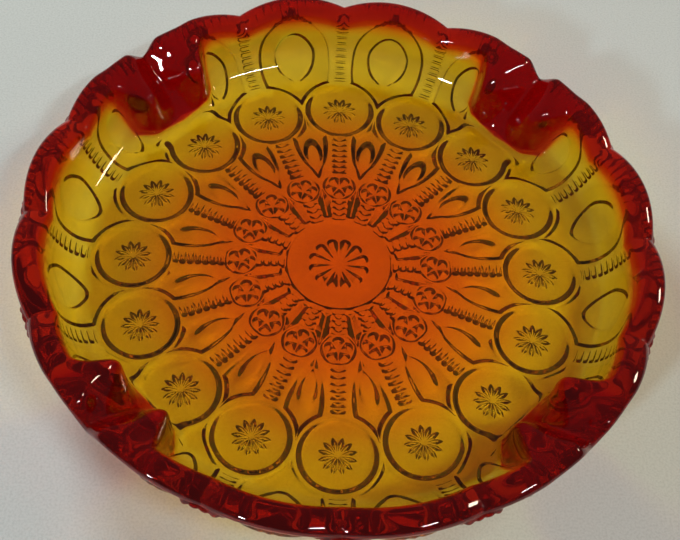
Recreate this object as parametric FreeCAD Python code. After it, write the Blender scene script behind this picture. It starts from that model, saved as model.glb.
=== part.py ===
"""A heavy pressed-glass candy dish: a round dish with a scalloped rim and four crimps.

The dish is one piece of glass. It is written out as three nodes that meet face to face:
the floor with its round bosses, the wall, and the thick rim. Millimetres, +Z up, with the
origin under the middle of the dish on the surface that it stands on.
"""

import FreeCAD, Part
import math
import os

# Repeats around the dish
LOBES = 16                   # rim lobes, and as many bosses, wall ovals and petals
CRIMPS = 4                   # places where the wall and rim are pressed inward
FIRST_CRIMP_ANGLE = 45.0     # degrees from +X, over a boss

# Floor
FLOOR_RADIUS = 75.5          # flat inside floor, where the wall's inner face begins
FLOOR_THICKNESS = 4.5

# Sixteen big bosses that the dish stands on
BOSS_RING_RADIUS = 67.5
BOSS_RADIUS = 12.9
BOSS_FACE_RADIUS = 11.2      # where the steep side turns into the sloping face
BOSS_FACE_HEIGHT = 1.8       # how far that edge stands below the floor's underside
BOSS_FLAT_RADIUS = 8.6       # the flat that rests on the table
BOSS_FLAT_SHIFT = 2.3        # the flat lies this far from the boss's middle, towards the axis
BOSS_HEIGHT = 2.6            # from the table to the floor's underside
WALL_FOOT_GAP = 0.6          # from the bosses' outer edge to the wall's outer foot

# Moulded figures on the floor's underside, inside the ring of bosses
CENTRE_BOSS_RADIUS = 18.2
CENTRE_BOSS_FLAT_RADIUS = 16.4
CENTRE_BOSS_HEIGHT = 1.3
STAR_RAYS = 12               # rounded hollows in the centre boss
STAR_START = 1.0
STAR_END = 8.3               # where a hollow is widest
STAR_NARROW = 0.2            # a hollow's half width at its start
STAR_WIDE = 1.9              # its half width, and its depth, at its end
SMALL_BOSS_RING_RADIUS = 32.2
SMALL_BOSS_RADIUS = 5.9
SMALL_BOSS_FACE_RADIUS = 4.9
SMALL_BOSS_FACE_HEIGHT = 1.35
SMALL_BOSS_TOP = 2.1         # its domed face stands out this far in the middle
PETAL_INNER_RADIUS = 35.9
PETAL_OUTER_RADIUS = 66.4
PETAL_WIDTH = 10.6
PETAL_HEIGHT = 1.6
PETAL_BOSS_GAP = 0.7         # from a petal to the two big bosses beside it
PETAL_HOLLOW_START = 38.0
PETAL_HOLLOW_END = 54.8
PETAL_HOLLOW_WIDTH = 6.2
PETAL_HOLLOW_DEPTH = 1.2
BAND_START = 38.4            # ridges between the petals
BAND_LAP = 0.9               # how far a ridge runs in over its big boss's edge
BAND_HALF_WIDTH = 2.3
BAND_HEIGHT = 1.3
INNER_BAND_START = 19.2
INNER_BAND_END = 26.4
INNER_BAND_HALF_WIDTH = 1.7
INNER_BAND_HEIGHT = 1.0
PANEL_START = 19.4           # roof-shaped panels round the centre boss
PANEL_END = 26.5
PANEL_START_HALF_WIDTH = 1.9
PANEL_END_HALF_WIDTH = 2.6
PANEL_HEIGHT = 2.1

# Wall and rim
RIM_RADIUS = 101.6           # of the control points over the middle of a rim lobe
RIM_HEIGHT = 29.0
LIP_WIDTH = 9.4              # thickness of the rounded lip, measured level
NOTCH_DROP = 3.2             # how much lower the rim is between two lobes
NOTCH_INSET = 1.8            # how much nearer the axis it is there
LIP_CROWN = 1.0              # how far the lip's middle control point stands above RIM_HEIGHT
# control points as shares of the way out and of the way up, from the foot to the lip
BOWL_INSIDE = [(0.0, 0.0), (0.20, 0.0), (0.50, 0.02), (0.73, 0.18), (0.88, 0.42), (0.965, 0.67), (1.0, 0.88)]
BOWL_OUTSIDE = [(0.955, 0.84), (0.77, 0.60), (0.52, 0.31), (0.24, 0.05), (0.0, 0.0)]
LIP_BLEND_START = 0.25       # shares along the section between which the rim's scallops show
LIP_BLEND_END = 0.85

# Crimps: a channel folded into the wall and rim, with an upright shoulder each side
SHOULDER_FULL_ANGLE = 7.5    # degrees from a crimp's middle within which the shoulders stand
SHOULDER_REACH_ANGLE = 12.5  # where they have faded into the plain wall
CHANNEL_HALF_ANGLE = 7.5     # half width of the channel between the shoulders
NOTCH_HALF_ANGLE = 4.2       # and at the rim's outer edge, where it is a notch
NOTCH_START = 0.40           # shares along the section between which it narrows to the notch
NOTCH_END = 0.58
CHANNEL_ROUNDING = 0.6       # 0 would fold the channel sharply, 1 would round its bottom
# control points (radius, height) between the inner and the outer foot: the channel's bottom
CHANNEL = [
    (76.6, 7.1), (78.6, 8.0), (82.2, 11.2), (86.2, 14.6), (90.2, 18.2), (94.2, 21.4), (97.4, 23.4),
    (99.3, 23.9), (100.2, 21.4), (99.4, 18.3), (94.4, 13.6), (89.4, 9.0), (84.6, 5.0),
]
# and the shoulders
SHOULDER = [
    (77.6, 7.1), (79.8, 8.6), (80.2, 14.5), (80.3, 21.0), (81.6, 25.2), (86.4, 26.6), (92.8, 27.8),
    (97.0, 29.2), (101.2, 28.0), (100.0, 24.4), (95.4, 18.0), (90.6, 10.8), (85.6, 4.0),
]
FIGURES_FADE_START = 0.25    # how far pressed the wall is where its figures begin to fade
FIGURES_FADE_END = 0.75
RIM_ROOM = 0.06              # share of its width that a rim lobe gives to the crimp beside it
PATTERN_ROOM = 0.30          # the same for the ovals on the wall

# Big ovals on the outside of the wall. Their reach is the distance from the axis along
# the floor's underside and then up the unrolled outer face.
OVAL_MIDDLE = 93.5           # reach where an oval is widest
OVAL_TOP = 109.0
OVAL_TAIL = 26.0             # from its middle to the point between two bosses
OVAL_HALF_WIDTH = 13.9
OVAL_EDGE_HEIGHT = 1.45      # how far it stands out just inside its edge
OVAL_SWELL = 0.3             # how much further its middle stands out
OVAL_BOSS_GAP = 0.7
OVAL_TAIL_HEIGHT = 1.8       # how far its lower end stands below the floor
OVAL_TAIL_OVERHANG = 0.8     # the lower end's sloping edge, which the wall's figures lie against
FOOT_RISE = 1.2              # reach over which the wall's figures rise beside it
OVAL_HOLLOW_MIDDLE = 92.0
OVAL_HOLLOW_HALF_LENGTH = 10.8
OVAL_HOLLOW_HALF_WIDTH = 8.2
OVAL_HOLLOW_DEPTH = 1.3
LADDER_HALF_WIDTH = 3.4      # plain band between two ovals, from the boss to the notch
LADDER_HEIGHT = 0.6
LADDER_TOP = 106.0
PAD_REACH = 110.2            # lens-shaped pad under each notch of the rim
PAD_HALF_LENGTH = 2.9
PAD_HALF_WIDTH = 7.5
PAD_HEIGHT = 1.0
SIDE_WIDTH = 2.2             # width of the steep side round an oval and its hollow
NARROW_SIDE_WIDTH = 1.2      # the same for the ladder and the pad

# Surface sampling
COLUMNS_PER_LOBE = 32
INNER_ROWS = 12
LIP_ROWS = 9
OUTER_ROWS = 36
RIM_ROWS_INSIDE = 5           # rows below the lip that belong to the ruby rim
RIM_ROWS_OUTSIDE = 8
INNER_END = 0.44              # share along the section where the lip begins
OUTER_START = 0.66            # and where it ends

# Derived sizes
UNDERSIDE = BOSS_HEIGHT
FLOOR_TOP = UNDERSIDE + FLOOR_THICKNESS
FOOT_RADIUS = BOSS_RING_RADIUS + BOSS_RADIUS + WALL_FOOT_GAP
PITCH = 360.0 / LOBES
COLUMNS = LOBES * COLUMNS_PER_LOBE
MELD = 0.1                   # how deep a boss reaches into the floor to fuse with it


def vector(radius, angle, height):
    """A point from its radius, its angle in degrees and its height."""
    turn = math.radians(angle)
    return FreeCAD.Vector(radius * math.cos(turn), radius * math.sin(turn), height)


def smooth(low, high, value):
    """0 at low, 1 at high, and an even slope between."""
    share = min(max((value - low) / (high - low), 0.0), 1.0)
    return share * share * (3.0 - 2.0 * share)


def between(start, end, share):
    return start + (end - start) * share


# ---- sections of the wall, as control points from the inner foot over the lip ----

def lobe_section():
    """Radius and height of the control points through the middle of a lobe."""
    inner_lip = RIM_RADIUS - LIP_WIDTH
    lip_middle = RIM_RADIUS - LIP_WIDTH / 2.0
    inner = [
        (between(FLOOR_RADIUS, inner_lip, across), between(FLOOR_TOP, RIM_HEIGHT, up))
        for across, up in BOWL_INSIDE
    ]
    lip = [
        (between(inner_lip, RIM_RADIUS, 0.12), RIM_HEIGHT),
        (lip_middle, RIM_HEIGHT + LIP_CROWN),
        (RIM_RADIUS, RIM_HEIGHT),
    ]
    outer = [
        (between(FOOT_RADIUS, RIM_RADIUS, across), between(UNDERSIDE, RIM_HEIGHT, up))
        for across, up in BOWL_OUTSIDE
    ]
    return inner + lip + outer


def crimp_section(points):
    """As many control points again, for a section near a crimp."""
    return [(FLOOR_RADIUS, FLOOR_TOP)] + points + [(FOOT_RADIUS, UNDERSIDE)]


def section_curve(points):
    curve = Part.BSplineCurve()
    curve.buildFromPoles([FreeCAD.Vector(radius, 0.0, height) for radius, height in points])
    return curve


# ---- how the section changes around the dish ----

def crimp_distance(angle):
    """Degrees from the nearest crimp's middle."""
    spacing = 360.0 / CRIMPS
    turn = (angle - FIRST_CRIMP_ANGLE + spacing / 2.0) % spacing
    return turn - spacing / 2.0


def shoulder_share(angle):
    """1 where the wall beside a crimp is pressed inward and 0 away from the crimps."""
    return 1.0 - smooth(SHOULDER_FULL_ANGLE, SHOULDER_REACH_ANGLE, abs(crimp_distance(angle)))


def channel_share(angle, edge_share):
    """1 at the bottom of a channel and 0 on its shoulders; edge_share is 1 at the rim's edge."""
    half = between(CHANNEL_HALF_ANGLE, NOTCH_HALF_ANGLE, edge_share)
    across = min(abs(crimp_distance(angle)) / half, 1.0)
    return 1.0 - between(across * (2.0 - across), smooth(0.0, 1.0, across), CHANNEL_ROUNDING)


def squeezed_angle(angle, room):
    """The angle in the pattern: lobes beside a crimp give it this share of their width."""
    away = crimp_distance(angle)
    share = abs(away) / PITCH
    if share >= 1.0:
        return angle
    squeezed = max(share - room * (1.0 - share) ** 1.5, 0.0)
    return angle - away + math.copysign(squeezed * PITCH, away)


def lobe_place(angle):
    """Where the angle lies across its lobe, from -0.5 to 0.5."""
    return (angle / PITCH) % 1.0 - 0.5


def scallop(place):
    """1 between two lobes and 0 over the middle of one."""
    return (2.0 * place) ** 2


def rise(inside, side_width):
    """1 well inside a figure's edge and 0 outside it, where inside is the distance from the edge."""
    return smooth(0.0, side_width, inside)


def oval_relief(reach, across, aside):
    """How far an oval stands out; across is from its middle line and aside from the bosses' line."""
    up = reach - OVAL_MIDDLE
    tall = (OVAL_TOP - OVAL_MIDDLE) if up > 0.0 else OVAL_TAIL
    share = math.hypot(up / tall, across / OVAL_HALF_WIDTH)
    from_boss = math.hypot(reach - BOSS_RING_RADIUS, aside) - BOSS_RADIUS - OVAL_BOSS_GAP
    inside = min((1.0 - share) * OVAL_HALF_WIDTH, from_boss)
    raised = (OVAL_EDGE_HEIGHT + OVAL_SWELL * max(1.0 - share ** 2, 0.0)) * rise(inside, SIDE_WIDTH)
    along = (reach - OVAL_HOLLOW_MIDDLE) / OVAL_HOLLOW_HALF_LENGTH
    hollow = (1.0 - math.hypot(along, across / OVAL_HOLLOW_HALF_WIDTH)) * OVAL_HOLLOW_HALF_WIDTH
    return raised - OVAL_HOLLOW_DEPTH * rise(hollow, SIDE_WIDTH)


def ladder_relief(reach, aside):
    """The plain band that climbs between two ovals."""
    from_boss = math.hypot(reach - BOSS_RING_RADIUS, aside) - BOSS_RADIUS - OVAL_BOSS_GAP
    inside = min(LADDER_HALF_WIDTH - aside, from_boss, LADDER_TOP - reach)
    return LADDER_HEIGHT * rise(inside, NARROW_SIDE_WIDTH)


def pad_relief(reach, aside):
    along = (reach - PAD_REACH) / PAD_HALF_LENGTH
    inside = (1.0 - math.hypot(along, aside / PAD_HALF_WIDTH)) * PAD_HALF_LENGTH
    return PAD_HEIGHT * rise(inside, NARROW_SIDE_WIDTH)


def wall_relief(reach, radius, angle):
    """How far the wall's outer face stands out from its plain section."""
    place = lobe_place(squeezed_angle(angle, PATTERN_ROOM))
    lobe_width = radius * math.radians(PITCH)
    across = place * lobe_width
    aside = (0.5 - abs(place)) * lobe_width
    oval = oval_relief(reach, across, aside)
    return max(oval, ladder_relief(reach, aside), pad_relief(reach, aside))


def wall_rows():
    """Shares along the section: up the inside, over the lip and down the outside."""
    rows = [INNER_END * i / INNER_ROWS for i in range(INNER_ROWS)]
    rows += [between(INNER_END, OUTER_START, i / LIP_ROWS) for i in range(LIP_ROWS)]
    rows += [between(OUTER_START, 1.0, i / OUTER_ROWS) for i in range(OUTER_ROWS + 1)]
    return rows


def wall_place(row, angle, lobe, shoulder, channel):
    """Radius and height of the wall's skin at a share along its section."""
    below_lip = smooth(OUTER_START, LIP_BLEND_END, row)
    lip_share = smooth(LIP_BLEND_START, INNER_END, row) * (1.0 - below_lip)
    edge_share = smooth(NOTCH_START, NOTCH_END, row) * (1.0 - below_lip)
    beside = shoulder_share(angle)
    inside = channel_share(angle, edge_share)
    dip = scallop(lobe_place(squeezed_angle(angle, RIM_ROOM))) * lip_share * (1.0 - beside)
    lobe_point = lobe.value(row)
    point = lobe_point * (1.0 - beside) + shoulder.value(row) * beside
    point = point * (1.0 - inside) + channel.value(row) * inside
    radius = point.x - NOTCH_INSET * dip
    height = point.z - NOTCH_DROP * dip
    if row > OUTER_START:
        reach = FOOT_RADIUS + lobe.length(row, 1.0)
        slope = lobe.tangent(row)[0]
        out = wall_relief(reach, lobe_point.x, angle)
        out *= 1.0 - smooth(FIGURES_FADE_START, FIGURES_FADE_END, max(beside, inside))
        out *= smooth(0.0, FOOT_RISE, reach - FOOT_RADIUS)
        radius += out * -slope.z
        height += out * slope.x
    return radius, height


def wall_surface():
    """The wall's whole skin: up the inside, over the lip and down the outside."""
    rows = wall_rows()
    lobe = section_curve(lobe_section())
    shoulder = section_curve(crimp_section(SHOULDER))
    channel = section_curve(crimp_section(CHANNEL))
    # a spline through the corners of a fine polygon runs just inside it: this sets it right
    swell = 6.0 / (4.0 + 2.0 * math.cos(math.radians(360.0 / COLUMNS)))
    net = []
    for column in range(COLUMNS):
        angle = 360.0 * column / COLUMNS
        line = []
        for row in rows:
            radius, height = wall_place(row, angle, lobe, shoulder, channel)
            line.append(vector(radius * swell, angle, height))
        net.append(line)
    surface = Part.BSplineSurface()
    across = len(rows)
    v_knots = [float(i) for i in range(across - 2)]
    v_mults = [4] + [1] * (across - 4) + [4]
    u_knots = [float(i) for i in range(COLUMNS + 1)]
    u_mults = [1] * (COLUMNS + 1)
    surface.buildFromPolesMultsKnots(net, u_mults, v_mults, u_knots, v_knots, True, False, 3, 3)
    return surface


def strip(surface, start, end):
    """The part of the skin between two knots along the section."""
    low, high = surface.bounds()[0:2]
    return surface.toShape(low, high, start, end)


def ring_between(surface, first, second):
    """The cut face across the glass, between two lines around the skin."""
    inner = surface.vIso(first).toShape()
    outer = surface.vIso(second).toShape()
    return Part.makeRuledSurface(inner, outer)


def closed_solid(faces):
    shell = Part.makeShell(faces)
    shell.sewShape()
    solid = Part.makeSolid(shell)
    if solid.Volume < 0.0:
        solid.reverse()
    return solid


def make_wall_and_rim():
    surface = wall_surface()
    start, end = surface.bounds()[2:4]
    inner_cut = float(INNER_ROWS - RIM_ROWS_INSIDE)
    outer_cut = float(INNER_ROWS + LIP_ROWS + RIM_ROWS_OUTSIDE)
    cut = ring_between(surface, inner_cut, outer_cut)
    foot = ring_between(surface, start, end)
    wall = closed_solid([strip(surface, start, inner_cut), strip(surface, outer_cut, end), cut, foot])
    rim = closed_solid([strip(surface, inner_cut, outer_cut), cut.copy()])
    return wall, rim


# ---- the floor and its figures ----

def ring_of(shape, count, first_angle):
    """Evenly spaced copies, round the dish, of a shape made on the +X axis."""
    copies = []
    for index in range(count):
        copy = shape.copy()
        copy.rotate(FreeCAD.Vector(), FreeCAD.Vector(0, 0, 1), first_angle + index * 360.0 / count)
        copies.append(copy)
    return copies


def level_circle(centre_radius, radius, height):
    """A circle at this distance along +X and at this height under the floor."""
    return Part.makeCircle(radius, FreeCAD.Vector(centre_radius, 0, UNDERSIDE - height))


def skirt(centre_radius, radius, face_radius, height):
    """The steep side of a round boss, let a little into the floor."""
    slope = (radius - face_radius) / height
    top = FreeCAD.Vector(centre_radius, 0, UNDERSIDE - height)
    return Part.makeCone(face_radius, radius + slope * MELD, height + MELD, top)


def big_boss():
    """A boss whose face slopes from its edge to a flat that lies off its middle."""
    side = skirt(BOSS_RING_RADIUS, BOSS_RADIUS, BOSS_FACE_RADIUS, BOSS_FACE_HEIGHT)
    edge = level_circle(BOSS_RING_RADIUS, BOSS_FACE_RADIUS, BOSS_FACE_HEIGHT)
    flat = level_circle(BOSS_RING_RADIUS - BOSS_FLAT_SHIFT, BOSS_FLAT_RADIUS, BOSS_HEIGHT)
    face = Part.makeLoft([Part.Wire(edge), Part.Wire(flat)], True, True)
    return side.fuse(face)


def small_boss():
    """A boss with a steep side and a domed face."""
    rise_above = SMALL_BOSS_TOP - SMALL_BOSS_FACE_HEIGHT
    sphere_radius = (SMALL_BOSS_FACE_RADIUS ** 2 + rise_above ** 2) / (2.0 * rise_above)
    side = skirt(SMALL_BOSS_RING_RADIUS, SMALL_BOSS_RADIUS, SMALL_BOSS_FACE_RADIUS, SMALL_BOSS_FACE_HEIGHT)
    middle = FreeCAD.Vector(SMALL_BOSS_RING_RADIUS, 0, UNDERSIDE - SMALL_BOSS_TOP + sphere_radius)
    foot = FreeCAD.Vector(SMALL_BOSS_RING_RADIUS, 0, UNDERSIDE - SMALL_BOSS_TOP)
    column = Part.makeCylinder(SMALL_BOSS_FACE_RADIUS, SMALL_BOSS_TOP - MELD, foot)
    return side.fuse(Part.makeSphere(sphere_radius, middle).common(column))


def star_hollow():
    """One hollow of the star in the centre boss: a lying cone with a round end."""
    face = UNDERSIDE - CENTRE_BOSS_HEIGHT
    start = FreeCAD.Vector(STAR_START, 0, face)
    length = STAR_END - STAR_START
    cone = Part.makeCone(STAR_NARROW, STAR_WIDE, length, start, FreeCAD.Vector(1, 0, 0))
    end = Part.makeSphere(STAR_WIDE, FreeCAD.Vector(STAR_END, 0, face))
    return cone.fuse(end)


def pointed_oval(inner_radius, outer_radius, width, bottom, top):
    """An upright prism with a pointed-oval outline along +X."""
    middle = (inner_radius + outer_radius) / 2.0
    tip_in = FreeCAD.Vector(inner_radius, 0, bottom)
    tip_out = FreeCAD.Vector(outer_radius, 0, bottom)
    left = Part.Arc(tip_in, FreeCAD.Vector(middle, width / 2.0, bottom), tip_out).toShape()
    right = Part.Arc(tip_out, FreeCAD.Vector(middle, -width / 2.0, bottom), tip_in).toShape()
    return Part.Face(Part.Wire([left, right])).extrude(FreeCAD.Vector(0, 0, top - bottom))


def clear_of_bosses(figure):
    """Cuts a figure on the +X axis back from the big bosses on both sides of it."""
    for side in (-PITCH / 2.0, PITCH / 2.0):
        foot = vector(BOSS_RING_RADIUS, side, 0.0)
        figure = figure.cut(Part.makeCylinder(BOSS_RADIUS + PETAL_BOSS_GAP, 2.0 * BOSS_HEIGHT, foot))
    return figure


def petal():
    """A leaf with a hollow in it, whose outer end runs in between two big bosses."""
    bottom = UNDERSIDE - PETAL_HEIGHT
    leaf = pointed_oval(PETAL_INNER_RADIUS, PETAL_OUTER_RADIUS, PETAL_WIDTH, bottom, UNDERSIDE + MELD)
    hollow_top = bottom + PETAL_HOLLOW_DEPTH
    hollow = pointed_oval(PETAL_HOLLOW_START, PETAL_HOLLOW_END, PETAL_HOLLOW_WIDTH, bottom - MELD, hollow_top)
    return clear_of_bosses(leaf.cut(hollow))


def oval_tail():
    """The lower end of a wall oval, which reaches in between two big bosses."""
    outer = 2.0 * OVAL_MIDDLE - BOSS_RING_RADIUS
    bottom = UNDERSIDE - OVAL_TAIL_HEIGHT
    tail = pointed_oval(BOSS_RING_RADIUS, outer, 2.0 * OVAL_HALF_WIDTH, bottom, UNDERSIDE + MELD)
    end = Part.makeCone(FOOT_RADIUS + OVAL_TAIL_OVERHANG, FOOT_RADIUS, UNDERSIDE + MELD)
    return clear_of_bosses(tail).common(end)


def roof(start, end, start_half_width, end_half_width, height):
    """A ridge along +X with two sloping faces."""
    ends = []
    for place, half_width in ((start, start_half_width), (end, end_half_width)):
        grown = half_width * (height + MELD) / height
        left = FreeCAD.Vector(place, -grown, UNDERSIDE + MELD)
        ridge = FreeCAD.Vector(place, 0, UNDERSIDE - height)
        right = FreeCAD.Vector(place, grown, UNDERSIDE + MELD)
        ends.append(Part.makePolygon([left, ridge, right, left]))
    return Part.makeLoft(ends, True, True)


def make_floor():
    plate = Part.makeCone(FOOT_RADIUS, FLOOR_RADIUS, FLOOR_THICKNESS, FreeCAD.Vector(0, 0, UNDERSIDE))
    band_end = BOSS_RING_RADIUS - BOSS_RADIUS + BAND_LAP
    band = roof(BAND_START, band_end, BAND_HALF_WIDTH, BAND_HALF_WIDTH, BAND_HEIGHT)
    inner_band = roof(
        INNER_BAND_START, INNER_BAND_END, INNER_BAND_HALF_WIDTH, INNER_BAND_HALF_WIDTH, INNER_BAND_HEIGHT
    )
    panel = roof(PANEL_START, PANEL_END, PANEL_START_HALF_WIDTH, PANEL_END_HALF_WIDTH, PANEL_HEIGHT)
    figures = [skirt(0.0, CENTRE_BOSS_RADIUS, CENTRE_BOSS_FLAT_RADIUS, CENTRE_BOSS_HEIGHT)]
    for figure in (big_boss(), small_boss(), band, inner_band):
        figures += ring_of(figure, LOBES, 0.0)
    for figure in (petal(), oval_tail(), panel):
        figures += ring_of(figure, LOBES, PITCH / 2.0)
    moulded = plate.multiFuse(figures)
    star = ring_of(star_hollow(), STAR_RAYS, 180.0 / STAR_RAYS)
    return moulded.cut(star).removeSplitter()


def main():
    os.makedirs("parts", exist_ok=True)
    wall, rim = make_wall_and_rim()
    nodes = {"floor": make_floor(), "wall": wall, "rim": rim}
    for name, shape in nodes.items():
        solid = shape.Solids[0] if len(shape.Solids) == 1 else shape
        print(name, "valid", solid.isValid(), "volume", round(solid.Volume, 1), solid.BoundBox)
        solid.exportStep("parts/" + name + ".step")


main()
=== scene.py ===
"""A pressed-glass candy dish, amber in the middle and ruby at the rim.

One closed glass mesh stands for all the CAD nodes. Its rings run from the middle of the
inside floor, up the wall, over the lip, down the outside and back to the middle underneath,
and the moulded figures are heights added to the outer face. Sizes here are millimetres.
"""

import math

import bpy
import numpy as np
from mathutils import Matrix, Vector


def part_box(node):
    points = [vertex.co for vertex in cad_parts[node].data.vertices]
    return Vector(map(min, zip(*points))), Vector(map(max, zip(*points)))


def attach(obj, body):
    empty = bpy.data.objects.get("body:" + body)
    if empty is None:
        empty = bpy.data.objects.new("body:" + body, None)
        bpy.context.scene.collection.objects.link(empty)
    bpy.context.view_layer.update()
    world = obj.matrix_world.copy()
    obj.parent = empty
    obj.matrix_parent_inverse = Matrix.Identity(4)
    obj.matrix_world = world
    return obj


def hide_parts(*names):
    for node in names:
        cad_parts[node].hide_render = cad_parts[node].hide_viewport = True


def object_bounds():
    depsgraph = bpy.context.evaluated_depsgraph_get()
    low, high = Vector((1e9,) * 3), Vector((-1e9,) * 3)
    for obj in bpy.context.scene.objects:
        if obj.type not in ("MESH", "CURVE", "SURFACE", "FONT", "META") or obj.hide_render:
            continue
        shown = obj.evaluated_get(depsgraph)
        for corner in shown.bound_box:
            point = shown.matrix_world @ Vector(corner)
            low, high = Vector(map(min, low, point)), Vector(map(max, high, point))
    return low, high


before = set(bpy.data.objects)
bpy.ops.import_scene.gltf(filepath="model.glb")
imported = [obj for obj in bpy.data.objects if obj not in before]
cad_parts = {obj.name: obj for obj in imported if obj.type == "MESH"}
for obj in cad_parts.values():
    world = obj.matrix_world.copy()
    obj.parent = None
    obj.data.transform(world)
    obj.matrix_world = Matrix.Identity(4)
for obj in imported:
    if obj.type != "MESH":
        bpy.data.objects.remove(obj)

CAD_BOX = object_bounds()
MM = 0.001

# ---- sizes from the frame, in millimetres ----
LIP_POLES_OUT = 0.93         # the lip's outer control point lies this far outside the glass
LIP_POLES_DOWN = 0.75        # and the lip's end points this far below its top
RIM_RADIUS = CAD_BOX[1][0] / MM + LIP_POLES_OUT
RIM_HEIGHT = CAD_BOX[1][2] / MM - LIP_POLES_DOWN
FLOOR_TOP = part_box("floor")[1][2] / MM
FLOOR_RADIUS = 75.5          # flat inside floor, where the wall's inner face begins
FOOT_RADIUS = 81.0           # where the outer face leaves the level underside
UNDERSIDE = 2.6              # height of the floor's underside, which the bosses hang from

# ---- repeats ----
LOBES = 16                   # round the rim; the figures repeat as often
PITCH = math.tau / LOBES
CRIMPS = 4                   # folds pressed into the wall
FIRST_CRIMP = math.radians(45.0)

# ---- wall and rim ----
LIP_WIDTH = 9.4
LIP_CROWN = 1.0              # how far the lip's middle control point stands above RIM_HEIGHT
LIP_SHOULDER = 0.12          # place of the lip's first control point as a share of its width
NOTCH_DROP = 3.2             # how much lower the rim is between two lobes
NOTCH_INSET = 1.8            # how much nearer the axis it is there
# control points as shares of the way out and of the way up, from the foot to the lip
BOWL_INSIDE = [(0.0, 0.0), (0.20, 0.0), (0.50, 0.02), (0.73, 0.18), (0.88, 0.42), (0.965, 0.67), (1.0, 0.88)]
BOWL_OUTSIDE = [(0.955, 0.84), (0.77, 0.60), (0.52, 0.31), (0.24, 0.05), (0.0, 0.0)]
RIM_ROOM = 0.06              # share of its width that a rim lobe gives to a crimp beside it
PATTERN_ROOM = 0.30          # the same for the figures on the wall
ROOM_POWER = 1.5             # above 1 a lobe gives way mostly beside the crimp
PATTERN_ROOM_START = 74.0    # radius under the dish where the figures begin to make way
# shares along the section, from the inner foot over the lip to the outer foot
LIP_BLEND_START = 0.25       # where the rim's scallops begin to show
INNER_END = 0.44             # where the lip begins
OUTER_START = 0.66           # and where it ends
LIP_BLEND_END = 0.85         # where the scallops have faded out
OUTER_SIDE = 0.5             # beyond it is the outside of the dish
FIGURES_START = OUTER_START - 0.08        # the moulded figures are looked for beyond here

# ---- crimps: a folded channel between two upright shoulders ----
SHOULDER_REACH = (math.radians(7.5), math.radians(12.5))   # from a crimp's middle: full to nothing
CHANNEL_HALF_ANGLE = math.radians(7.5)
NOTCH_HALF_ANGLE = math.radians(4.2)      # of the channel at the rim's outer edge
NOTCH_SHARES = (0.40, 0.58)               # between which the channel narrows to the notch
CHANNEL_ROUNDING = 0.6                    # 0 would fold the channel sharply
INNER_FOOT = (FLOOR_RADIUS, FLOOR_TOP)
OUTER_FOOT = (FOOT_RADIUS, UNDERSIDE)
# control points (radius, height) at the bottom of the channel and on the shoulders
CHANNEL = [
    INNER_FOOT, (76.6, 7.1), (78.6, 8.0), (82.2, 11.2), (86.2, 14.6), (90.2, 18.2), (94.2, 21.4),
    (97.4, 23.4), (99.3, 23.9), (100.2, 21.4),
    (99.4, 18.3), (94.4, 13.6), (89.4, 9.0), (84.6, 5.0), OUTER_FOOT,
]
SHOULDER = [
    INNER_FOOT, (77.6, 7.1), (79.8, 8.6), (80.2, 14.5), (80.3, 21.0), (81.6, 25.2), (86.4, 26.6),
    (92.8, 27.8), (97.0, 29.2), (101.2, 28.0),
    (100.0, 24.4), (95.4, 18.0), (90.6, 10.8), (85.6, 4.0), OUTER_FOOT,
]
FIGURES_FADE = (0.25, 0.75)  # how far pressed the wall is where its figures begin and end to fade

# ---- flutes cut round the outside under the lip ----
FLUTES_PER_LOBE = 13
FLUTE_DEPTH = 0.55
FLUTE_CRIMP_LOSS = 0.6       # share of their depth that the flutes lose in a crimp
FLUTE_START = (0.71, 0.735)  # shares along the section where they begin and are fully deep
FLUTE_END = (0.79, 0.81)

# ---- moulded figures: an inset is how far inside a figure's outline the middle of its steep side lies ----
BOSS_RING_RADIUS = 67.5
BOSS_RADIUS = 12.7
BOSS_FLAT_RADIUS = 8.6
BOSS_TILT = 2.3              # the resting flat lies this far towards the middle of the dish
BOSS_EDGE_HEIGHT = 1.9       # how far a boss stands out at its edge
BOSS_SLOPE_POWER = 1.3       # above 1 the face is rounded between the flat and the edge
BOSS_INSET, BOSS_SIDE = 1.0, 2.9
BOSS_STAR_REACH, BOSS_STAR_WIDTH, BOSS_STAR_STEEPNESS = 6.3, 0.92, 2.3

CENTRE_BOSS_RADIUS = 18.4
CENTRE_BOSS_FLAT_RADIUS = 16.6
CENTRE_BOSS_HEIGHT = 1.3
CENTRE_STAR_REACH, CENTRE_STAR_WIDTH, CENTRE_STAR_DEPTH = 10.2, 1.9, 2.1
CENTRE_STAR_END = 12.0
STAR_RAYS = 12               # of the big bosses' stars and of the centre star
LEAF_POWER = 1.25            # above 1 a star's groove is widest beyond its middle
HOLLOW_FULLNESS = 0.8        # below 1 a star's hollows are fuller than a plain V

SMALL_BOSS_RING_RADIUS = 32.2
SMALL_BOSS_RADIUS = 5.7
SMALL_BOSS_DOME_RADIUS = 6.6
SMALL_BOSS_HEIGHT = 2.1
SMALL_BOSS_INSET, SMALL_BOSS_SIDE = 0.3, 1.3
FLOWER_REACH, FLOWER_WIDTH, FLOWER_DEPTH = 5.0, 2.1, 2.3
FLOWER_PETALS = 5

PETAL_START = 35.6
PETAL_TAPER = 18.2           # length over which it widens
PETAL_TAPER_POWER = 1.8
PETAL_END = BOSS_RING_RADIUS - 3.0
PETAL_HALF_WIDTH = 6.3
PETAL_BOSS_GAP = 0.1
PETAL_HEIGHT, PETAL_INSET, PETAL_SIDE = 2.2, 1.0, 2.4
PETAL_HOLLOW_MIDDLE = 46.4
PETAL_HOLLOW_HALF_LENGTH, PETAL_HOLLOW_HALF_WIDTH = 8.9, 3.7
PETAL_HOLLOW_DEPTH, PETAL_HOLLOW_INSET, PETAL_HOLLOW_SIDE = 2.0, 1.0, 2.5

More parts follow.
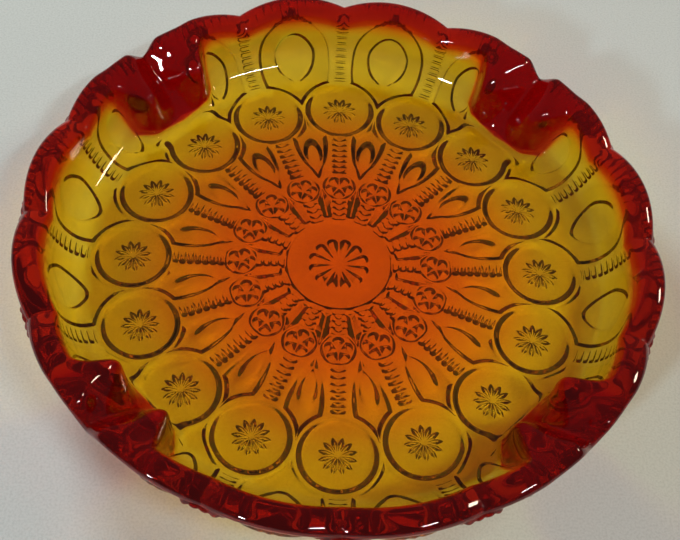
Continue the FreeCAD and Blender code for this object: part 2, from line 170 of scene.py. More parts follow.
BEAD_SQUARENESS = 3.0        # 2 would make each bead's outline an ellipse
BEAD_FULLNESS = 0.9          # below 1 the beads bulge
# rows of beads: start, end, half width, number of beads, height
OUTER_BEADS = (38.2, 54.6, 2.5, 7, 2.4)
INNER_BEADS = (19.2, 26.4, 1.9, 3, 2.0)

PANEL_RADII = (19.2, 26.5, 31.5)          # roof-shaped panels round the centre boss
PANEL_HALF_WIDTHS = (1.9, 2.6, 0.0)       # at those radii
PANEL_HEIGHT = 2.1
PANEL_END_SLOPE = (18.8, 20.4)            # radii between which its inner end rises
LEAST_PANEL_WIDTH = 0.01     # keeps the division by its width safe

OVAL_MIDDLE = 93.5           # along the unrolled outer face
OVAL_TOP = 109.0
OVAL_TAIL = 26.0             # from its middle to the point between two bosses
OVAL_HALF_WIDTH = 13.9
OVAL_BOSS_GAP = 0.9
OVAL_HEIGHT, OVAL_INSET, OVAL_SIDE = 1.45, 0.9, 2.2
OVAL_SWELL = 0.3
OVAL_HOLLOW_MIDDLE = 92.0
OVAL_HOLLOW_HALF_LENGTH, OVAL_HOLLOW_HALF_WIDTH = 10.8, 8.4
OVAL_HOLLOW_NARROWING = 0.12
OVAL_HOLLOW_WIDEST = 95.0
OVAL_HOLLOW_DEPTH, OVAL_HOLLOW_INSET, OVAL_HOLLOW_SIDE = 2.2, 1.0, 2.8
DROP_MIDDLE = 87.2           # a small hollow within the oval's hollow
DROP_HALF_LENGTH, DROP_HALF_WIDTH, DROP_DEPTH, DROP_SIDE = 6.0, 3.1, 0.45, 1.1

LADDER_HALF_WIDTH = 3.4
LADDER_EDGE = 2.6            # over which the rungs' ends slope down
LADDER_OVAL_GAP, LADDER_BOSS_GAP, LADDER_BOSS_SIDE = 0.1, 1.6, 0.8
LADDER_TOP = (106.5, 105.5)
RUNG_PITCH = 2.5
RUNG_HALF_SHARE = 0.45       # of the pitch
RUNG_HEIGHT = 1.1

PAD_REACH = 110.2            # along the unrolled outer face
PAD_HALF_LENGTH, PAD_HALF_WIDTH = 7.5, 2.9
PAD_HEIGHT, PAD_INSET, PAD_SIDE = 1.0, 0.3, 1.2

# ---- mesh ----
COLUMNS = 1536
RING_STEP = 0.30             # between rings on the moulded side
LAST_RING = 1.0              # the rings underneath stop before this radius
NEAR_MIDDLE = 0.001          # radius that stands for the middle point
SPLINE_END = 1.0 - 1e-9      # share that stands for a spline's last point
SMOOTH_STEP = 0.9            # between rings on the smooth side
FLOOR_RING_SHARES = (0.025, 0.05, 0.10, 0.20, 0.35, 0.5, 0.65, 0.8, 0.9, 0.96)
FLOOR_RING_COUNTS = (48, 96, 192, 384, 768, 768, 768, 768, 768, 768)
FINE_COLUMNS_START = INNER_END - 0.06      # share along the section where all columns are used
FINE_STEPS = 2001            # along the section, to measure its length
LEAST_COLUMNS = 24
LEAST_COLUMN_WIDTH = 0.20    # narrower than this, and a ring has half as many columns

# ---- colour: warmth is 0 in the middle, FOOT_WARMTH at the wall's foot and 1 at the rim ----
FOOT_WARMTH = 0.5
RUBY_FOOT = (2.0, 6.5)       # degrees from a crimp's middle: full ruby to none, at its foot
RUBY_TOP = (8.5, 15.0)       # and above it
RUBY_TAPER = 8.0             # how fast the ruby widens as the crimp climbs
RUBY_FADE = 0.07             # climb over which the ruby begins above the floor
GLASS_COLOURS = [
    (0.00, (0.90, 0.33, 0.03)),
    (0.24, (0.90, 0.38, 0.04)),
    (0.36, (0.90, 0.60, 0.12)),
    (0.44, (0.88, 0.80, 0.40)),
    (0.56, (0.80, 0.66, 0.18)),
    (0.78, (0.79, 0.57, 0.13)),
    (0.86, (0.92, 0.30, 0.05)),
    (0.91, (0.62, 0.020, 0.012)),
    (0.96, (0.42, 0.002, 0.004)),
    (1.00, (0.36, 0.001, 0.003)),
]
HAZE_START = 0.80            # the ruby glass is very slightly cloudy, the amber is clear
HAZE_END = 0.93
AMBER_CLEARNESS = 0.995
RUBY_CLEARNESS = 0.86
BODY_TINT = (0.975, 0.915, 0.05, 1.0)     # of the light left after passing through the glass
BODY_TINT_DENSITY = 400.0
SHADOW_GREY = (0.68, 0.68, 0.68, 1.0)     # mixed half and half with the colour of the glass's shadow
GLASS_ROUGHNESS = 0.02
GLASS_IOR = 1.5

# ---- counter, lamps and camera, in metres ----
COUNTER_SIZE = 4.0
COUNTER_GAP = 0.0002
COUNTER_ROUGHNESS = 0.6
COUNTER_COLOURS = [(0.30, (0.52, 0.53, 0.50)), (0.60, (0.60, 0.61, 0.58))]
SPECKLE_SCALE = 1400.0
WORLD_COLOUR = (0.95, 0.98, 1.0, 1.0)
WORLD_STRENGTH = 0.07
LAMP_TARGET = (0.0, 0.0, 0.01)
# name, place, size, power in watts, colour, whether the glass mirrors it
LAMPS = [
    ("left_lamp", (-0.55, 0.85, 0.50), (0.30, 0.22), 9.5, (0.95, 1.0, 0.98), False),
    ("right_lamp", (0.80, 0.30, 0.70), (0.20, 0.14), 2.6, (1.0, 0.84, 0.62), True),
    ("near_right_lamp", (0.46, -0.46, 0.88), (0.26, 0.06), 3.2, (1.0, 1.0, 1.0), True),
    ("near_left_lamp", (-0.56, -0.72, 0.52), (0.08, 0.08), 4.0, (0.80, 0.93, 1.0), True),
]
VIEW_ELEVATION = math.radians(56.363)
VIEW_AZIMUTH = math.radians(6.154)
VIEW_ROLL = math.radians(-7.671)
VIEW_DISTANCE = 0.34357
VIEW_TARGET = (0.0, 0.0, 0.0028)
SENSOR_WIDTH = 36.0          # this and the lens are millimetres
LENS = 54.86
LENS_SHIFT = (0.0021, -0.0060)
CLIP_START = 0.01


def smooth(low, high, value):
    """0 at low and 1 at high with a soft S between; low may be the greater of the two."""
    share = np.clip((value - low) / (high - low), 0.0, 1.0)
    return share * share * (3.0 - 2.0 * share)


def between(start, end, share):
    return start + (end - start) * share


# ---- the wall's sections ----

def lobe_section():
    """Control points (radius, height) through the middle of a lobe."""
    inner_lip = RIM_RADIUS - LIP_WIDTH
    inner = [
        (between(FLOOR_RADIUS, inner_lip, across), between(FLOOR_TOP, RIM_HEIGHT, up))
        for across, up in BOWL_INSIDE
    ]
    lip = [
        (inner_lip + LIP_SHOULDER * LIP_WIDTH, RIM_HEIGHT),
        (RIM_RADIUS - LIP_WIDTH / 2.0, RIM_HEIGHT + LIP_CROWN),
        (RIM_RADIUS, RIM_HEIGHT),
    ]
    outer = [
        (between(FOOT_RADIUS, RIM_RADIUS, across), between(UNDERSIDE, RIM_HEIGHT, up))
        for across, up in BOWL_OUTSIDE
    ]
    return inner + lip + outer


def spline(points, shares):
    """Points on the clamped cubic B-spline with these control points."""
    poles = np.array(points, dtype=float)
    shares = np.clip(np.asarray(shares, dtype=float), 0.0, SPLINE_END)
    knots = np.concatenate([np.zeros(3), np.linspace(0.0, 1.0, len(poles) - 2), np.ones(3)])
    basis = ((shares[:, None] >= knots[:-1]) & (shares[:, None] < knots[1:])).astype(float)
    for degree in (1, 2, 3):
        count = len(knots) - degree - 1
        ends = knots[degree + 1:degree + 1 + count]
        rise = knots[degree:degree + count] - knots[:count]
        fall = ends - knots[1:1 + count]
        safe_rise = np.where(rise > 0, rise, 1.0)
        safe_fall = np.where(fall > 0, fall, 1.0)
        left = np.where(rise > 0, (shares[:, None] - knots[:count]) / safe_rise, 0.0)
        right = np.where(fall > 0, (ends - shares[:, None]) / safe_fall, 0.0)
        basis = left * basis[:, :count] + right * basis[:, 1:count + 1]
    return basis @ poles


# ---- places around the dish ----

def crimp_distance(angle):
    """Signed angle from the nearest crimp's middle."""
    spacing = math.tau / CRIMPS
    return (angle - FIRST_CRIMP + spacing / 2.0) % spacing - spacing / 2.0


def shoulder_share(angle):
    """1 where the wall beside a crimp is pressed inward and 0 away from the crimps."""
    return 1.0 - smooth(*SHOULDER_REACH, np.abs(crimp_distance(angle)))


def channel_share(angle, edge_share):
    """1 at the bottom of a crimp's channel and 0 on its shoulders; edge_share is 1 at the rim's edge."""
    half = between(CHANNEL_HALF_ANGLE, NOTCH_HALF_ANGLE, edge_share)
    across = np.clip(np.abs(crimp_distance(angle)) / half, 0.0, 1.0)
    return 1.0 - between(across * (2.0 - across), smooth(0.0, 1.0, across), CHANNEL_ROUNDING)


def squeezed_angle(angle, room):
    """The angle in the pattern: lobes beside a crimp give it this share of their width."""
    away = crimp_distance(angle)
    share = np.abs(away) / PITCH
    squeezed = np.maximum(share - room * np.maximum(1.0 - share, 0.0) ** ROOM_POWER, 0.0) * PITCH
    return np.where(share < 1.0, angle - away + np.sign(away) * squeezed, angle)


def lobe_place(angle):
    """-0.5 to 0.5 across a lobe, with 0 over its middle; the bosses are at the ends."""
    return (angle / PITCH) % 1.0 - 0.5


# ---- moulded figures, as heights that stand out from the outer face ----

def bump_within(distance_inside, side):
    """1 well inside a figure's outline and 0 outside it, with a steep side between."""
    return smooth(-side / 2.0, side / 2.0, distance_inside)


def ray_place(x, y, rays, first):
    """Places along and beside the nearest of the rays round the origin."""
    radius = np.hypot(x, y)
    step = math.tau / rays
    off = (np.arctan2(y, x) - first + step / 2.0) % step - step / 2.0
    return radius * np.cos(off), np.abs(radius * np.sin(off))


def cut_star(x, y, reach, width, rays, steepness, first):
    """A star of leaf-shaped grooves with V-shaped bottoms."""
    along, aside = ray_place(x, y, rays, first)
    share = np.clip(along / reach, 0.0, 1.0)
    leaf = width * np.sin(math.pi * share ** LEAF_POWER)
    return steepness * np.clip(leaf - aside, 0.0, None)


def petal_star(x, y, reach, width, rays, depth, first):
    """A star of drop-shaped hollows, each widest and deepest near its outer end."""
    along, aside = ray_place(x, y, rays, first)
    end = reach - width
    inside = np.where(along < end, width * along / end - aside, width - np.hypot(along - end, aside))
    deepest = depth * np.clip(along / end, 0.0, 1.0)
    return deepest * np.clip(inside / width, 0.0, 1.0) ** HOLLOW_FULLNESS


def ellipse_inside(along, across, half_length, half_width):
    """Distance inside an ellipse's outline, measured across its narrow half width."""
    return (1.0 - np.hypot(along / half_length, across / half_width)) * half_width


def big_boss(x, y):
    """Round boss whose resting flat is off its middle."""
    flat_x = x - (BOSS_RING_RADIUS - BOSS_TILT)
    grow = BOSS_RADIUS - BOSS_FLAT_RADIUS
    squared = BOSS_TILT ** 2 - grow ** 2
    linear = flat_x * BOSS_TILT + BOSS_FLAT_RADIUS * grow
    constant = flat_x ** 2 + y ** 2 - BOSS_FLAT_RADIUS ** 2
    root = np.sqrt(np.maximum(linear ** 2 - squared * constant, 0.0))
    share = np.clip((linear - root) / squared, 0.0, 1.0)
    face = between(UNDERSIDE, BOSS_EDGE_HEIGHT, share ** BOSS_SLOPE_POWER)
    inside = BOSS_RADIUS - np.hypot(x - BOSS_RING_RADIUS, y)
    return face * bump_within(inside - BOSS_INSET, BOSS_SIDE)


def centre_boss(x, y):
    """Low round boss in the middle of the underside."""
    return CENTRE_BOSS_HEIGHT * smooth(CENTRE_BOSS_RADIUS, CENTRE_BOSS_FLAT_RADIUS, np.hypot(x, y))


def small_boss(x, y):
    """Small domed boss at the inner end of a row of beads."""
    distance = np.hypot(x - SMALL_BOSS_RING_RADIUS, y)
    dome = np.sqrt(np.clip(1.0 - (distance / SMALL_BOSS_DOME_RADIUS) ** 2, 0.0, 1.0))
    inside = SMALL_BOSS_RADIUS - distance
    return SMALL_BOSS_HEIGHT * dome * bump_within(inside - SMALL_BOSS_INSET, SMALL_BOSS_SIDE)


def boss_gap(x, y):
    """Distance outside the two big bosses on either side of this gap."""
    boss_x = BOSS_RING_RADIUS * math.cos(PITCH / 2.0)
    boss_y = BOSS_RING_RADIUS * math.sin(PITCH / 2.0)
    return np.hypot(x - boss_x, np.abs(y) - boss_y) - BOSS_RADIUS


def petal(x, y):
    """Leaf between two rows of beads; its outer end fits between two big bosses."""
    share = np.clip((x - PETAL_START) / PETAL_TAPER, 0.0, 1.0)
    half = PETAL_HALF_WIDTH * (1.0 - (1.0 - share) ** PETAL_TAPER_POWER) * (x > PETAL_START)
    inside = np.minimum(half - np.abs(y), boss_gap(x, y) - PETAL_BOSS_GAP)
    inside = np.where(x < PETAL_END, inside, -PETAL_SIDE)
    raised = PETAL_HEIGHT * bump_within(inside - PETAL_INSET, PETAL_SIDE)
    hollow = ellipse_inside(
        x - PETAL_HOLLOW_MIDDLE, y, PETAL_HOLLOW_HALF_LENGTH, PETAL_HOLLOW_HALF_WIDTH
    )
    return raised - PETAL_HOLLOW_DEPTH * bump_within(hollow - PETAL_HOLLOW_INSET, PETAL_HOLLOW_SIDE)


def bead_row(x, y, start, end, half_width, beads, height):
    """A row of rounded beads along a spoke, each lapping the next."""
    pitch = (end - start) / beads
    along = (x - start) / pitch
    off = np.abs(2.0 * (along % 1.0) - 1.0)
    inside = (along > 0.0) & (along < beads)
    outline = off ** BEAD_SQUARENESS + np.abs(y / half_width) ** BEAD_SQUARENESS
    reach = outline ** (1.0 / BEAD_SQUARENESS)
    return height * np.clip(1.0 - reach, 0.0, 1.0) ** BEAD_FULLNESS * inside


def roof_panel(x, y):
    """Long panels like little roofs round the centre boss."""
    half = np.interp(x, PANEL_RADII, PANEL_HALF_WIDTHS)
    ridge = np.clip(1.0 - np.abs(y) / np.maximum(half, LEAST_PANEL_WIDTH), 0.0, 1.0)
    return PANEL_HEIGHT * np.minimum(ridge, smooth(*PANEL_END_SLOPE, x)) * (x < PANEL_RADII[-1])


def oval_outline(x, y):
    """Place in a wall oval as a share of the way from its middle to its outline."""
    up = x - OVAL_MIDDLE
    tall = np.where(up > 0.0, OVAL_TOP - OVAL_MIDDLE, OVAL_TAIL)
    return np.hypot(up / tall, y / OVAL_HALF_WIDTH)


def oval(x, y, side):
    """Big oval on the wall; its foot runs to a point between two bosses."""
    reach = oval_outline(x, y)
    off_boss = np.hypot(x - BOSS_RING_RADIUS, side) - BOSS_RADIUS - OVAL_BOSS_GAP
    inside = np.minimum((1.0 - reach) * OVAL_HALF_WIDTH, off_boss)
    swell = OVAL_SWELL * np.clip(1.0 - reach ** 2, 0.0, 1.0)
    raised = (OVAL_HEIGHT + swell) * bump_within(inside - OVAL_INSET, OVAL_SIDE)
    half_width = OVAL_HOLLOW_HALF_WIDTH - OVAL_HOLLOW_NARROWING * np.abs(x - OVAL_HOLLOW_WIDEST)
    place = np.hypot((x - OVAL_HOLLOW_MIDDLE) / OVAL_HOLLOW_HALF_LENGTH, y / half_width)
    hollow = (1.0 - place) * OVAL_HOLLOW_HALF_WIDTH
    drop = ellipse_inside(x - DROP_MIDDLE, y, DROP_HALF_LENGTH, DROP_HALF_WIDTH)
    raised = raised - OVAL_HOLLOW_DEPTH * bump_within(hollow - OVAL_HOLLOW_INSET, OVAL_HOLLOW_SIDE)
    return raised - DROP_DEPTH * bump_within(drop, DROP_SIDE)


def rungs(x, y, side):
    """Ladder of short bars up the wall between two ovals."""
    clear = (oval_outline(x, y) - 1.0) * OVAL_HALF_WIDTH
    room = np.minimum(clear - LADDER_OVAL_GAP, LADDER_HALF_WIDTH - side)
    above_boss = np.hypot(x - BOSS_RING_RADIUS, side) - BOSS_RADIUS - LADDER_BOSS_GAP
    across_rung = ((x / RUNG_PITCH) % 1.0 - 0.5) / RUNG_HALF_SHARE
    bar = RUNG_HEIGHT * np.sqrt(np.clip(1.0 - across_rung ** 2, 0.0, 1.0))
    fade = bump_within(above_boss, LADDER_BOSS_SIDE) * smooth(*LADDER_TOP, x)
    return bar * smooth(0.0, LADDER_EDGE, room) * fade


def notch_pad(x, side):
    """Plain lens-shaped pad under each notch of the rim."""
    inside = ellipse_inside(side, x - PAD_REACH, PAD_HALF_LENGTH, PAD_HALF_WIDTH)
    return PAD_HEIGHT * bump_within(inside - PAD_INSET, PAD_SIDE)


def pattern_place(reach, radius, angle):
    """Position along and across a figure, with the ring's curve taken out."""
    return reach - radius * (1.0 - np.cos(angle)), radius * np.sin(angle)


def moulded(reach, radius, angle):
    """Height of the moulded figures at a distance along the unrolled outer face."""
    on_boss = (angle + PITCH / 2.0) % PITCH - PITCH / 2.0
    on_gap = angle % PITCH - PITCH / 2.0
    boss_x, boss_y = pattern_place(reach, radius, on_boss)
    gap_x, gap_y = pattern_place(reach, radius, on_gap)
    middle_x, middle_y = radius * np.cos(angle), radius * np.sin(angle)
    side = np.abs(on_boss) * radius
    raised = [
        centre_boss(middle_x, middle_y),
        small_boss(boss_x, boss_y),
        big_boss(boss_x, boss_y),
        petal(gap_x, gap_y),
        bead_row(boss_x, boss_y, *OUTER_BEADS),
        bead_row(boss_x, boss_y, *INNER_BEADS),
        roof_panel(gap_x, gap_y),
        oval(reach, gap_y, side),
        rungs(reach, gap_y, side),
        notch_pad(reach, side),
    ]
    height = np.maximum.reduce([np.maximum(h, 0.0) for h in raised])
    half_ray = math.pi / STAR_RAYS
    if reach < CENTRE_STAR_END:
        height = height - petal_star(
            middle_x, middle_y, CENTRE_STAR_REACH, CENTRE_STAR_WIDTH, STAR_RAYS, CENTRE_STAR_DEPTH, half_ray
        )
    flower = petal_star(
        boss_x - SMALL_BOSS_RING_RADIUS, boss_y,
        FLOWER_REACH, FLOWER_WIDTH, FLOWER_PETALS, FLOWER_DEPTH, math.pi / FLOWER_PETALS,
    )
    star = cut_star(
        boss_x - BOSS_RING_RADIUS, boss_y,
        BOSS_STAR_REACH, BOSS_STAR_WIDTH, STAR_RAYS, BOSS_STAR_STEEPNESS, half_ray,
    )
    return height - flower - star


def rim_flutes(place, share):
    """Short flutes cut round the outside, just under the lip."""
    wave = np.abs(((place + 0.5) * FLUTES_PER_LOBE) % 1.0 - 0.5) * 2.0
    return -FLUTE_DEPTH * wave ** 2 * smooth(*FLUTE_START, share) * smooth(*FLUTE_END[::-1], share)


# ---- the glass mesh ----

def wall_shares():
    """Shares along the section: wide steps on the smooth inside and fine ones on the moulded outside."""
    fine = np.linspace(0.0, 1.0, FINE_STEPS)
    line = spline(lobe_section(), fine)
    length = np.concatenate([[0.0], np.cumsum(np.hypot(*np.diff(line, axis=0).T))])
    lip = np.interp(INNER_END, fine, length)
    inner = np.linspace(0.0, lip, int(lip / SMOOTH_STEP), endpoint=False)
    outer = np.linspace(lip, length[-1], int((length[-1] - lip) / RING_STEP))
    return np.interp(np.concatenate([inner, outer]), length, fine), fine, length


def columns_at(radius):
    """How many points a ring of this radius has; it halves towards the middle."""
    count = COLUMNS
    while count > LEAST_COLUMNS and math.tau * radius / count < LEAST_COLUMN_WIDTH:
        count //= 2
    return count


def ring_angles(count):
    """Evenly spaced angles once round the dish."""
    return np.arange(count) / count * math.tau


def wall_warmth(angle, climb, ruby_climb):
    """Glass colour up the wall; the crimps are ruby down to a narrow foot."""
    away = np.degrees(np.abs(crimp_distance(angle)))
    widened = min(RUBY_TAPER * ruby_climb, 1.0)
    reach = between(np.array(RUBY_FOOT), np.array(RUBY_TOP), widened)
    ruby = 1.0 - smooth(*reach, away)
    return between(between(FOOT_WARMTH, 1.0, climb), 1.0, ruby * smooth(0.0, RUBY_FADE, ruby_climb))


def wall_ring(share, rise, slope, angle):
    """Positions and warmth of one ring of the wall's skin."""
    inside_face = share < OUTER_SIDE
    below_lip = smooth(OUTER_START, LIP_BLEND_END, share)
    lip_share = smooth(LIP_BLEND_START, INNER_END, share) * (1.0 - below_lip)
    edge_share = smooth(*NOTCH_SHARES, share) * (1.0 - below_lip)
    shoulder = shoulder_share(angle)
    channel = channel_share(angle, edge_share)
    pressed = np.maximum(shoulder, channel)
    plain_r, plain_z = spline(lobe_section(), [share])[0]
    shoulder_r, shoulder_z = spline(SHOULDER, [share])[0]
    channel_r, channel_z = spline(CHANNEL, [share])[0]
    place = lobe_place(squeezed_angle(angle, RIM_ROOM))
    dip = (2.0 * place) ** 2 * lip_share * (1.0 - shoulder)
    radius = between(between(plain_r, shoulder_r, shoulder), channel_r, channel) - NOTCH_INSET * dip
    height = between(between(plain_z, shoulder_z, shoulder), channel_z, channel) - NOTCH_DROP * dip
    if not inside_face:
        out = rim_flutes(place, share) * (1.0 - FLUTE_CRIMP_LOSS * pressed)
        if share > FIGURES_START:
            easing = 1.0 - smooth(*FIGURES_FADE, pressed)
            pattern = squeezed_angle(angle, PATTERN_ROOM)
            out = out + moulded(FOOT_RADIUS + rise, plain_r, pattern) * easing
        radius = radius - out * slope[1]
        height = height + out * slope[0]
    low = FLOOR_TOP if inside_face else UNDERSIDE
    climb = np.clip((plain_z - low) / (RIM_HEIGHT - low), 0.0, 1.0)
    channel_climb = max((channel_z - low) / (RIM_HEIGHT - low), 0.0)
    warmth = wall_warmth(angle, climb, channel_climb if inside_face else climb)
    return radius, height, warmth


def level_ring(radius, count, height, warmth):
    """A ring at one radius; height may vary round it and warmth is one value."""
    angle = ring_angles(count)
    flat = np.ones_like(angle)
    return angle, radius * flat, height * flat, warmth * flat


def dish_rings():
    """Every ring from the inside floor round to the underside, as (angle, radius, height, warmth)."""
    rings = [
        level_ring(FLOOR_RADIUS * share, count, FLOOR_TOP, FOOT_WARMTH * share)
        for share, count in zip(FLOOR_RING_SHARES, FLOOR_RING_COUNTS)
    ]
    shares, fine, length = wall_shares()
    section = spline(lobe_section(), fine)
    tangent = np.gradient(section, axis=0)
    tangent /= np.hypot(tangent[:, 0], tangent[:, 1])[:, None]
    for share in shares:
        slope = (np.interp(share, fine, tangent[:, 0]), np.interp(share, fine, tangent[:, 1]))
        rise = length[-1] - np.interp(share, fine, length)
        angle = ring_angles(COLUMNS if share > FINE_COLUMNS_START else COLUMNS // 2)
        rings.append((angle, *wall_ring(share, rise, slope, angle)))
    for radius in np.arange(FOOT_RADIUS - RING_STEP, LAST_RING, -RING_STEP):
        count = columns_at(radius)
        angle = ring_angles(count)
        making_way = smooth(PATTERN_ROOM_START, FOOT_RADIUS, radius)
        pattern = between(angle, squeezed_angle(angle, PATTERN_ROOM), making_way)
        height = UNDERSIDE - moulded(radius, radius, pattern)
        rings.append(level_ring(radius, count, height, FOOT_WARMTH * radius / FOOT_RADIUS))
    return rings


def stitch(first, second, first_count, second_count):
    """Faces between two rings, where one may have twice as many points as the other."""
    if first_count == second_count:
        index = np.arange(first_count)
        after = (index + 1) % first_count
        return np.stack([first + index, first + after, second + after, second + index], axis=1).tolist()
    if first_count < second_count:
        index = np.arange(first_count)
        after = (index + 1) % first_count
        wide = 2 * index
        middle = wide + 1
        last = (wide + 2) % second_count
        faces = np.stack([first + index, second + middle, second + wide], axis=1).tolist()
        faces += np.stack([first + index, first + after, second + last, second + middle], axis=1).tolist()
        return faces
    index = np.arange(second_count)
    after = (index + 1) % second_count
    wide = 2 * index
    middle = wide + 1
    last = (wide + 2) % first_count
    faces = np.stack([first + wide, first + middle, second + index], axis=1).tolist()
    faces += np.stack([first + middle, first + last, second + after, second + index], axis=1).tolist()
    return faces


def make_dish():
    """The whole dish as one closed mesh, with the glass colour's place in its warmth attribute."""
    points = [np.array([[0.0, 0.0, FLOOR_TOP]])]
    warmths = [np.zeros(1)]
    starts = []
    start = 1
    for angle, radius, height, warmth in dish_rings():
        starts.append((start, len(angle)))
        points.append(np.stack([radius * np.cos(angle), radius * np.sin(angle), height], axis=1))
        warmths.append(warmth)
        start += len(angle)
    centre_figure = float(moulded(NEAR_MIDDLE, NEAR_MIDDLE, np.array([0.0]))[0])
    points.append(np.array([[0.0, 0.0, UNDERSIDE - centre_figure]]))
    warmths.append(np.zeros(1))
    count = starts[0][1]
    faces = [(0, 1 + i, 1 + (i + 1) % count) for i in range(count)]
    for (first, first_count), (second, second_count) in zip(starts, starts[1:]):
        faces += [face[::-1] for face in stitch(first, second, first_count, second_count)]
    last, last_count = starts[-1]
    faces += [(start, last + (i + 1) % last_count, last + i) for i in range(last_count)]
    mesh = bpy.data.meshes.new("glass_dish")
    mesh.from_pydata((np.vstack(points) * MM).tolist(), [], faces)
    warmth = mesh.attributes.new("warmth", "FLOAT", "POINT")
    warmth.data.foreach_set("value", np.concatenate(warmths).astype(np.float32))
    mesh.shade_smooth()
    mesh.update()
    dish = bpy.data.objects.new("glass_dish", mesh)
    bpy.context.scene.collection.objects.link(dish)
    return dish


# ---- materials ----

def node(tree, kind, **values):
    """A new node with these input values; an underscore stands for a space in an input's name."""
    made = tree.nodes.new(kind)
    for name, value in values.items():
        made.inputs[name.replace("_", " ")].default_value = value
    return made


def new_material(name):
    material = bpy.data.materials.new(name)
    material.use_nodes = True
    return material, material.node_tree


def colour_ramp(tree, stops):
    """A ramp with these (place, colour) stops."""
    ramp = tree.nodes.new("ShaderNodeValToRGB")
    elements = ramp.color_ramp.elements
    for element, (place, colour) in zip(elements, (stops[0], stops[-1])):
        element.position = place
        element.color = (*colour, 1.0)
    for place, colour in stops[1:-1]:
        elements.new(place).color = (*colour, 1.0)
    return ramp


def glass_material():
    """Clear amber to slightly cloudy ruby glass; its shadow is tinted light and not a dark patch."""
    material, tree = new_material("amber_to_ruby_glass")
    tree.nodes.clear()
    link = tree.links.new
    glass = node(
        tree, "ShaderNodeBsdfPrincipled", Roughness=GLASS_ROUGHNESS, IOR=GLASS_IOR, Transmission_Weight=1.0
    )
    warmth = tree.nodes.new("ShaderNodeAttribute")
    warmth.attribute_name = "warmth"
    ramp = colour_ramp(tree, GLASS_COLOURS)
    link(warmth.outputs["Fac"], ramp.inputs["Fac"])
    link(ramp.outputs["Color"], glass.inputs["Base Color"])
    haze = node(
        tree, "ShaderNodeMapRange",
        From_Min=HAZE_START, From_Max=HAZE_END, To_Min=AMBER_CLEARNESS, To_Max=RUBY_CLEARNESS,
    )
    link(warmth.outputs["Fac"], haze.inputs["Value"])
    link(haze.outputs["Result"], glass.inputs["Transmission Weight"])
    clear = tree.nodes.new("ShaderNodeBsdfTransparent")
    pale = node(tree, "ShaderNodeMixRGB", Fac=0.5, Color1=SHADOW_GREY)
    link(ramp.outputs["Color"], pale.inputs["Color2"])
    link(pale.outputs["Color"], clear.inputs["Color"])
    path = tree.nodes.new("ShaderNodeLightPath")
    mix = tree.nodes.new("ShaderNodeMixShader")
    link(path.outputs["Is Shadow Ray"], mix.inputs["Fac"])
    link(glass.outputs["BSDF"], mix.inputs[1])
    link(clear.outputs["BSDF"], mix.inputs[2])
    tint = node(tree, "ShaderNodeVolumeAbsorption", Color=BODY_TINT, Density=BODY_TINT_DENSITY)
    out = tree.nodes.new("ShaderNodeOutputMaterial")
    link(mix.outputs["Shader"], out.inputs["Surface"])
    link(tint.outputs["Volume"], out.inputs["Volume"])
    return material


def counter_material():
    """Pale counter top with a fine, faint speckle."""
    material, tree = new_material("pale_counter")
    shader = tree.nodes["Principled BSDF"]
    shader.inputs["Roughness"].default_value = COUNTER_ROUGHNESS
    place = tree.nodes.new("ShaderNodeTexCoord")
    speckle = node(tree, "ShaderNodeTexNoise", Scale=SPECKLE_SCALE)
    ramp = colour_ramp(tree, COUNTER_COLOURS)
    tree.links.new(place.outputs["Object"], speckle.inputs["Vector"])
    tree.links.new(speckle.outputs["Fac"], ramp.inputs["Fac"])
    tree.links.new(ramp.outputs["Color"], shader.inputs["Base Color"])
    return material


# ---- stage, lights and camera ----

def make_floor():
    """The counter, just under the part so that the two don't share a face."""
    height = CAD_BOX[0][2] - COUNTER_GAP
    bpy.ops.mesh.primitive_plane_add(size=COUNTER_SIZE, location=(0.0, 0.0, height))
    floor = bpy.context.object
    floor.name = "counter"
    floor.data.materials.append(counter_material())


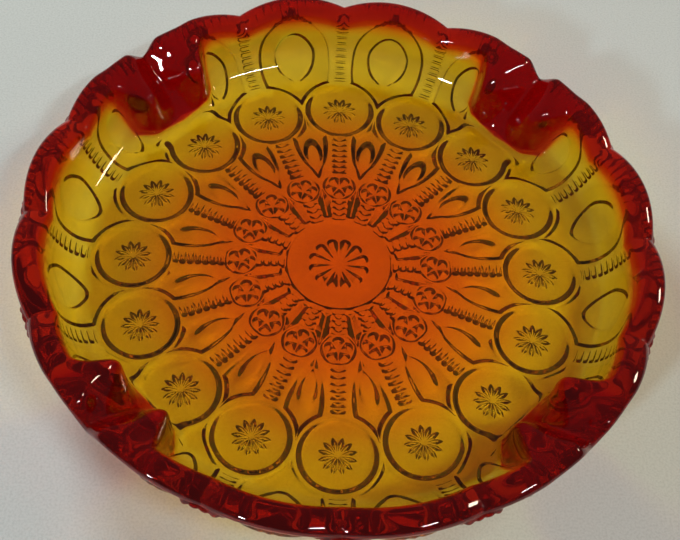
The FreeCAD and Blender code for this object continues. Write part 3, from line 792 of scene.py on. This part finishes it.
def area_lamp(name, place, size, power, colour, mirrored):
    """A soft lamp aimed at the dish, never seen through the glass; mirrored: whether it shows in it."""
    data = bpy.data.lights.new(name, "AREA")
    data.shape = "RECTANGLE"
    data.size, data.size_y = size
    data.energy = power
    data.color = colour
    lamp = bpy.data.objects.new(name, data)
    lamp.location = place
    lamp.visible_transmission = False
    lamp.visible_glossy = mirrored
    lamp.rotation_euler = (Vector(LAMP_TARGET) - Vector(place)).to_track_quat("-Z", "Y").to_euler()
    bpy.context.scene.collection.objects.link(lamp)


def make_lights():
    world = bpy.data.worlds.new("studio")
    world.use_nodes = True
    background = world.node_tree.nodes["Background"]
    background.inputs["Color"].default_value = WORLD_COLOUR
    background.inputs["Strength"].default_value = WORLD_STRENGTH
    bpy.context.scene.world = world
    for lamp in LAMPS:
        area_lamp(*lamp)


def make_camera():
    """The camera that the dish is seen with: from above the near side, slightly turned."""
    level = math.cos(VIEW_ELEVATION)
    ahead = Vector((math.sin(VIEW_AZIMUTH), math.cos(VIEW_AZIMUTH), 0.0))
    back = Vector((0.0, 0.0, math.sin(VIEW_ELEVATION))) - ahead * level
    right = Vector((math.cos(VIEW_AZIMUTH), -math.sin(VIEW_AZIMUTH), 0.0))
    up = back.cross(right)
    turned_right = math.cos(VIEW_ROLL) * right - math.sin(VIEW_ROLL) * up
    turned_up = math.sin(VIEW_ROLL) * right + math.cos(VIEW_ROLL) * up
    data = bpy.data.cameras.new("camera")
    data.sensor_width = SENSOR_WIDTH
    data.lens = LENS
    data.shift_x, data.shift_y = LENS_SHIFT
    data.clip_start = CLIP_START
    camera = bpy.data.objects.new("camera", data)
    turn = Matrix((turned_right, turned_up, back)).transposed().to_4x4()
    camera.matrix_world = Matrix.Translation(Vector(VIEW_TARGET) + back * VIEW_DISTANCE) @ turn
    bpy.context.scene.collection.objects.link(camera)
    bpy.context.scene.camera = camera


make_camera()
make_floor()
make_lights()
dish = make_dish()
dish.data.materials.append(glass_material())
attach(dish, "root")
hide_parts("floor", "wall", "rim")

scene = bpy.context.scene
scene.view_settings.view_transform = "Standard"
